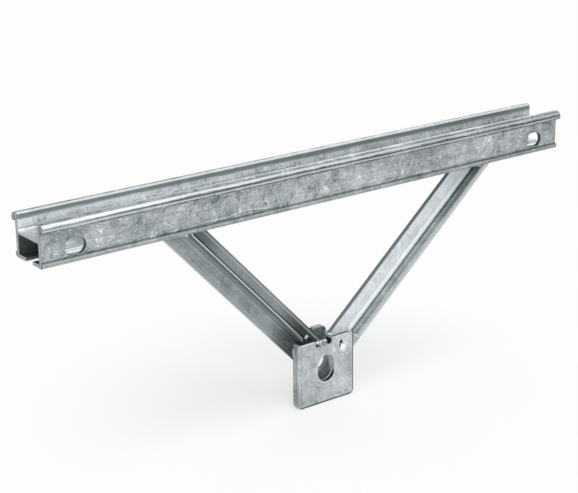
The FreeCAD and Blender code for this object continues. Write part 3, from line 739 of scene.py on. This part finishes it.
def weld_material(settings):
    material = bpy.data.materials.get("weld_zinc")
    if material is None:
        zinc = Zinc("weld_zinc", 0.46, settings, coat=0.9, spangle=0.35)
        # painted shade where the notch's pockets fall on the weld
        shade_pockets(zinc, zinc.below(zinc.y, BRACE_FACE + NEAR))
        material = zinc.finish(rough=(0.62, 0.5))
    return material


def new_tree(name, inputs):
    """A geometry node tree with named inputs after its geometry."""
    tree = bpy.data.node_groups.new(name, "GeometryNodeTree")
    tree.interface.new_socket("Geometry", in_out="INPUT", socket_type="NodeSocketGeometry")
    for label, kind in inputs.items():
        tree.interface.new_socket(label, in_out="INPUT", socket_type="NodeSocket" + kind)
    tree.interface.new_socket("Geometry", in_out="OUTPUT", socket_type="NodeSocketGeometry")
    return tree, tree.nodes.new("NodeGroupInput").outputs, tree.nodes.new("NodeGroupOutput")


def finish_tree(tree, last, material, result):
    """Closes a tree: instances made real, shaded smooth, with the material."""
    real = add_node(tree, "GeometryNodeRealizeInstances", {"Geometry": last})
    smooth = add_node(tree, "GeometryNodeSetShadeSmooth", {"Geometry": real.outputs[0]})
    painted = add_node(tree, "GeometryNodeSetMaterial", {
        "Geometry": smooth.outputs[0], "Material": material})
    tree.links.new(painted.outputs[0], result.inputs["Geometry"])


def step_along(tree, mesh, gap):
    """Points along a path of mesh edges, a gap apart."""
    path = add_node(tree, "GeometryNodeMeshToCurve", {"Mesh": mesh})
    steps = add_node(tree, "GeometryNodeResampleCurve", {
        "Curve": path.outputs[0], "Length": gap}, mode="LENGTH")
    return steps.outputs[0]


def make_bead_tree():
    """Weld metal laid along a path as overlapping ripples, melted into one skin."""
    tree, given, result = new_tree("weld_ripples", {
        "Ripple Gap": "Float", "Bead Radius": "Float", "Unevenness": "Float",
        "Seed": "Int", "Material": "Material"})
    steps = step_along(tree, given["Geometry"], given["Ripple Gap"])
    ball = add_node(tree, "GeometryNodeMeshUVSphere", {
        "Segments": 16, "Rings": 10, "Radius": given["Bead Radius"]})
    size = add_node(tree, "FunctionNodeRandomValue", {
        NUMBER_LOW: maths(tree, "SUBTRACT", 1.0, given["Unevenness"]),
        NUMBER_HIGH: maths(tree, "ADD", 1.0, given["Unevenness"]),
        "Seed": given["Seed"]}, data_type="FLOAT")
    balls = add_node(tree, "GeometryNodeInstanceOnPoints", {
        "Points": steps, "Instance": ball.outputs[0], "Scale": size.outputs[NUMBER_DRAWN]})
    real = add_node(tree, "GeometryNodeRealizeInstances", {"Geometry": balls.outputs[0]})
    cloud = add_node(tree, "GeometryNodeMeshToVolume", {
        "Mesh": real.outputs[0], "Voxel Size": 0.0005, "Interior Band Width": 0.002},
        resolution_mode="VOXEL_SIZE")
    skin = add_node(tree, "GeometryNodeVolumeToMesh", {
        "Volume": cloud.outputs[0], "Threshold": 0.1})
    finish_tree(tree, skin.outputs[0], given["Material"], result)
    return tree


def make_run_tree():
    """Small drops of zinc at uneven places along a path."""
    tree, given, result = new_tree("zinc_runs", {
        "Run Gap": "Float", "Run Size": "Float", "Kept": "Float",
        "Seed": "Int", "Material": "Material"})
    steps = step_along(tree, given["Geometry"], given["Run Gap"])
    shift = add_node(tree, "FunctionNodeRandomValue", {
        VECTOR_LOW: (-1.0, 0.0, -0.12), VECTOR_HIGH: (1.0, 0.0, 0.12),
        "Seed": given["Seed"]}, data_type="FLOAT_VECTOR")
    moved = vector_maths(tree, "SCALE", shift.outputs[VECTOR_DRAWN], scale=given["Run Gap"])
    scattered = add_node(tree, "GeometryNodeSetPosition", {"Geometry": steps, "Offset": moved})
    chosen = add_node(tree, "FunctionNodeRandomValue", {
        "Probability": given["Kept"], "Seed": given["Seed"]}, data_type="BOOLEAN")
    drop = add_node(tree, "GeometryNodeMeshUVSphere", {
        "Segments": 10, "Rings": 8, "Radius": given["Run Size"]})
    size = add_node(tree, "FunctionNodeRandomValue", {
        VECTOR_LOW: (0.6, 0.6, 0.6), VECTOR_HIGH: (2.6, 1.0, 1.3),
        "Seed": maths(tree, "ADD", given["Seed"], 11)}, data_type="FLOAT_VECTOR")
    drops = add_node(tree, "GeometryNodeInstanceOnPoints", {
        "Points": scattered.outputs[0], "Selection": chosen.outputs[CHOICE_DRAWN],
        "Instance": drop.outputs[0], "Scale": size.outputs[VECTOR_DRAWN]})
    finish_tree(tree, drops.outputs[0], given["Material"], result)
    return tree


def lay_paths(name, paths, tree, values):
    """Runs a geometry node tree on straight paths and keeps the result as a plain mesh."""
    points, edges = [], []
    for start, end in paths:
        edges.append((len(points), len(points) + 1))
        points += [start, end]
    mesh = bpy.data.meshes.new(name + "_path")
    mesh.from_pydata(points, edges, [])
    carrier = bpy.data.objects.new(name + "_path", mesh)
    bpy.context.scene.collection.objects.link(carrier)
    modifier = carrier.modifiers.new(name, "NODES")
    modifier.node_group = tree
    for item in tree.interface.items_tree:
        if item.item_type == "SOCKET" and item.in_out == "INPUT" and item.name in values:
            modifier[item.identifier] = values[item.name]
    graph = bpy.context.evaluated_depsgraph_get()
    graph.update()
    baked = bpy.data.meshes.new_from_object(carrier.evaluated_get(graph))
    if not baked.polygons:
        raise RuntimeError(name + " has no faces")
    baked.name = name
    carrier.modifiers.clear()
    bpy.data.objects.remove(carrier)
    piece = bpy.data.objects.new(name, baked)
    bpy.context.scene.collection.objects.link(piece)
    return piece


class CROSSARM_OT_lay_welds(bpy.types.Operator):
    """Lays rippled weld beads in place of the plain ones"""
    bl_idname = "crossarm.lay_welds"
    bl_label = "Lay Welds"

    LIFT = 0.0006  # distance of a bead's path from the face that it lies on

    def execute(self, context):
        settings = context.scene.cross_arm
        tree = make_bead_tree()
        welds = {"notch_weld": self.plan_notch(*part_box("notch_weld"))}
        for side in SIGN:
            for kind, plan in (("seat", self.plan_seat), ("side", self.plan_side),
                               ("edge", self.plan_edge), ("tongue", self.plan_tongue)):
                name = side + "_" + kind + "_weld"
                welds[name] = plan(side, *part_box(name))
        for count, (name, paths) in enumerate(sorted(welds.items())):
            kind = name.split("_")[-2]
            rough = kind == "notch"
            bead = lay_paths(name + "_bead", paths, tree, {
                "Ripple Gap": settings.ripple_gap * (1.6 if rough else 1.0),
                "Bead Radius": WELD_RADIUS[kind], "Unevenness": 0.3 if rough else 0.12,
                "Seed": settings.seed + count, "Material": weld_material(settings)})
            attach(bead, "root")
            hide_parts(name)
        return {"FINISHED"}

    # Each plan gives a weld's straight paths, from the box of the plain weld.

    def plan_notch(self, low, high):
        front, level = BRACE_FACE - 2 * self.LIFT, low.z + self.LIFT
        return [(Vector((low.x, front, level)), Vector((high.x, front, level)))]

    def plan_seat(self, side, low, high):
        """Along the rail's foot in front of the flange, and along both sides of the stem."""
        slope = slope_of(side)
        front, top = BRACE_FACE - self.LIFT, RAIL_FOOT - self.LIFT
        centre = SIGN[side] * (REACH[side] + DROP[side] / math.sin(slope))
        stem = STEM_HALF / math.sin(slope)
        fall = 0.001 / math.tan(slope)
        paths = [(Vector((low.x, front, top)), Vector((high.x, front, top)))]
        for way in (-1, 1):
            across = centre + way * stem - SIGN[side] * fall
            paths.append((Vector((across, front, top)), Vector((across, low.y, top))))
        return paths

    def plan_side(self, side, low, high):
        """Up the plate's side, against the face of the flange."""
        front, edge = BRACE_FACE - self.LIFT, SIGN[side] * (PLATE_HIGH.x + 0.0002)
        return [(Vector((edge, front, low.z + 0.002)), Vector((edge, front, high.z - 0.001)))]

    def plan_edge(self, side, low, high):
        """Along the flange's lower edge, against the back of the plate."""
        slope, start = slope_of(side), 0.003
        back, foot = BRACE_FACE + 0.001, low.z + 0.004 * math.cos(slope)
        run = PLATE_HIGH.x - 0.008
        return [(Vector((SIGN[side] * start, back, foot)),
                 Vector((SIGN[side] * (start + run), back, foot + run * math.tan(slope))))]

    def plan_tongue(self, side, low, high):
        """Up the side of the lug's tongue, against the back of the flange."""
        beside = SIGN[side] * (min(abs(low.x), abs(high.x)) + self.LIFT)
        back = BRACE_BACK + self.LIFT
        return [(Vector((beside, back, low.z)), Vector((beside, back, high.z)))]


class CROSSARM_OT_hang_runs(bpy.types.Operator):
    """Hangs small frozen drops of zinc along the rail's beads"""
    bl_idname = "crossarm.hang_runs"
    bl_label = "Hang Zinc Runs"

    def execute(self, context):
        settings = context.scene.cross_arm
        start, end = RAIL_LOW.x + 0.006, RAIL_HIGH.x - 0.006
        level = BEAD_TIP + 0.0004
        paths = []
        for way in (-1, 1):
            out = RAIL_MIDDLE + way * (WALL_OUT + 0.0068)
            paths.append((Vector((start, out, level)), Vector((end, out, level))))
        runs = lay_paths("rail_zinc_runs", paths, make_run_tree(), {
            "Run Gap": settings.run_gap, "Run Size": settings.run_size, "Kept": 0.55,
            "Seed": settings.seed + 40, "Material": bpy.data.materials["rail_zinc"]})
        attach(runs, "root")
        return {"FINISHED"}


# The camera: focal length in picture widths, turns in radians, place in metres.
IMAGE_WIDTH = 578
FOCAL = 1549.2937 / IMAGE_WIDTH
YAW, PITCH, ROLL = 0.6485, 0.3246, -0.0124
CAMERA_PLACE = (-1.2822, -1.63226, 0.87114)
SENSOR = 36.0
CLIP = (0.1, 50.0)

# The lamps: name, place, aim, breadth and share of the lamp power.
LAMPS = (
    ("overhead_lamp", (-0.3, -0.9, 2.3), (0.0, 0.0, 0.15), 2.0, 1.0),
    ("front_lamp", (-1.5, -2.6, 1.2), (0.0, 0.0, 0.15), 1.4, 1.1),
    ("back_lamp", (1.8, 1.8, 1.5), (0.0, 0.0, 0.2), 1.4, 0.4),
)

# The floor gives off more of its own light from one distance to another, as the camera sees it.
FLOOR_HALF = 6.0
FLOOR_GLOW = 0.52
FLOOR_GLOW_REACH = (0.12, 0.48)
SKY, SKY_STRENGTH = (0.95, 0.97, 1.0, 1.0), 0.5
WHITE = (1.0, 1.0, 1.0, 1.0)


class CROSSARM_OT_set_stage(bpy.types.Operator):
    """Sets the pale floor, the soft lamps and the camera"""
    bl_idname = "crossarm.set_stage"
    bl_label = "Set Stage"

    def execute(self, context):
        settings = context.scene.cross_arm
        scene = context.scene
        scene.view_settings.view_transform = "Standard"
        self.lay_floor(scene, settings)
        self.hang_lamps(scene, settings)
        self.light_world(scene)
        self.place_camera(scene)
        return {"FINISHED"}

    def lay_floor(self, scene, settings):
        corners = [(x * FLOOR_HALF, y * FLOOR_HALF, PLATE_LOW.z)
                   for x, y in ((-1, -1), (1, -1), (1, 1), (-1, 1))]
        mesh = bpy.data.meshes.new("floor")
        mesh.from_pydata(corners, [], [(0, 1, 2, 3)])
        floor = bpy.data.objects.new("floor", mesh)
        scene.collection.objects.link(floor)
        material = bpy.data.materials.new("floor_white")
        material.use_nodes = True
        tree = material.node_tree
        tree.nodes.clear()
        path = add_node(tree, "ShaderNodeLightPath")
        matt = add_node(tree, "ShaderNodeBsdfDiffuse", {"Color": (*settings.backdrop, 1.0)})
        glow = add_node(tree, "ShaderNodeEmission", {"Color": (*settings.backdrop, 1.0)})
        place = add_node(tree, "ShaderNodeTexCoord").outputs["Object"]
        reach = vector_maths(tree, "LENGTH", place)
        share = maths(tree, "MULTIPLY", ramp(tree, reach, *FLOOR_GLOW_REACH, FLOOR_GLOW, 1.0),
                      path.outputs["Is Camera Ray"])
        mixed = add_node(tree, "ShaderNodeMixShader", {
            0: share, 1: matt.outputs[0], 2: glow.outputs[0]})
        add_node(tree, "ShaderNodeOutputMaterial", {"Surface": mixed.outputs[0]})
        mesh.materials.append(material)

    def hang_lamps(self, scene, settings):
        for name, place, aim, breadth, share in LAMPS:
            light = bpy.data.lights.new(name, "AREA")
            light.shape = "DISK"
            light.size = breadth
            light.energy = settings.lamp_power * share
            lamp = bpy.data.objects.new(name, light)
            lamp.location = place
            lamp.rotation_mode = "QUATERNION"
            lamp.rotation_quaternion = (Vector(aim) - Vector(place)).to_track_quat("-Z", "Y")
            scene.collection.objects.link(lamp)

    def light_world(self, scene):
        """A soft sky that the camera sees as white."""
        world = bpy.data.worlds.new("studio")
        world.use_nodes = True
        tree = world.node_tree
        tree.nodes.clear()
        path = add_node(tree, "ShaderNodeLightPath")
        soft = add_node(tree, "ShaderNodeBackground", {"Color": SKY, "Strength": SKY_STRENGTH})
        white = add_node(tree, "ShaderNodeBackground", {"Color": WHITE, "Strength": 1.0})
        mixed = add_node(tree, "ShaderNodeMixShader", {
            0: path.outputs["Is Camera Ray"], 1: soft.outputs[0], 2: white.outputs[0]})
        add_node(tree, "ShaderNodeOutputWorld", {"Surface": mixed.outputs[0]})
        scene.world = world

    def place_camera(self, scene):
        data = bpy.data.cameras.new("camera")
        data.sensor_width = SENSOR
        data.lens = SENSOR * FOCAL
        data.clip_start, data.clip_end = CLIP
        camera = bpy.data.objects.new("camera", data)
        scene.collection.objects.link(camera)
        ahead = Vector((math.sin(YAW) * math.cos(PITCH), math.cos(YAW) * math.cos(PITCH),
                        -math.sin(PITCH)))
        level = Vector((math.cos(YAW), -math.sin(YAW), 0.0))
        upright = level.cross(ahead)
        right = math.cos(ROLL) * level + math.sin(ROLL) * upright
        up = math.cos(ROLL) * upright - math.sin(ROLL) * level
        turn = Matrix((right, up, -ahead)).transposed()
        camera.matrix_world = Matrix.Translation(CAMERA_PLACE) @ turn.to_4x4()
        scene.camera = camera


class CROSSARM_PT_panel(bpy.types.Panel):
    bl_idname = "CROSSARM_PT_panel"
    bl_label = "Cross Arm"
    bl_space_type = "VIEW_3D"
    bl_region_type = "UI"
    bl_category = "Cross Arm"

    def draw(self, context):
        settings = context.scene.cross_arm
        for name in ArmSettings.__annotations__:
            self.layout.prop(settings, name)
        for operator in OPERATORS:
            self.layout.operator(operator.bl_idname)


OPERATORS = (CROSSARM_OT_finish_rail, CROSSARM_OT_finish_braces, CROSSARM_OT_finish_plate,
             CROSSARM_OT_lay_welds, CROSSARM_OT_hang_runs, CROSSARM_OT_set_stage)
CLASSES = (ArmSettings, *OPERATORS, CROSSARM_PT_panel)


def register():
    for cls in CLASSES:
        bpy.utils.register_class(cls)
    bpy.types.Scene.cross_arm = PointerProperty(type=ArmSettings)


def unregister():
    del bpy.types.Scene.cross_arm
    for cls in reversed(CLASSES):
        bpy.utils.unregister_class(cls)


def main():
    register()
    bpy.ops.crossarm.finish_rail()
    bpy.ops.crossarm.finish_braces()
    bpy.ops.crossarm.finish_plate()
    bpy.ops.crossarm.lay_welds()
    bpy.ops.crossarm.hang_runs()
    bpy.ops.crossarm.set_stage()


if __name__ == "__main__":
    main()
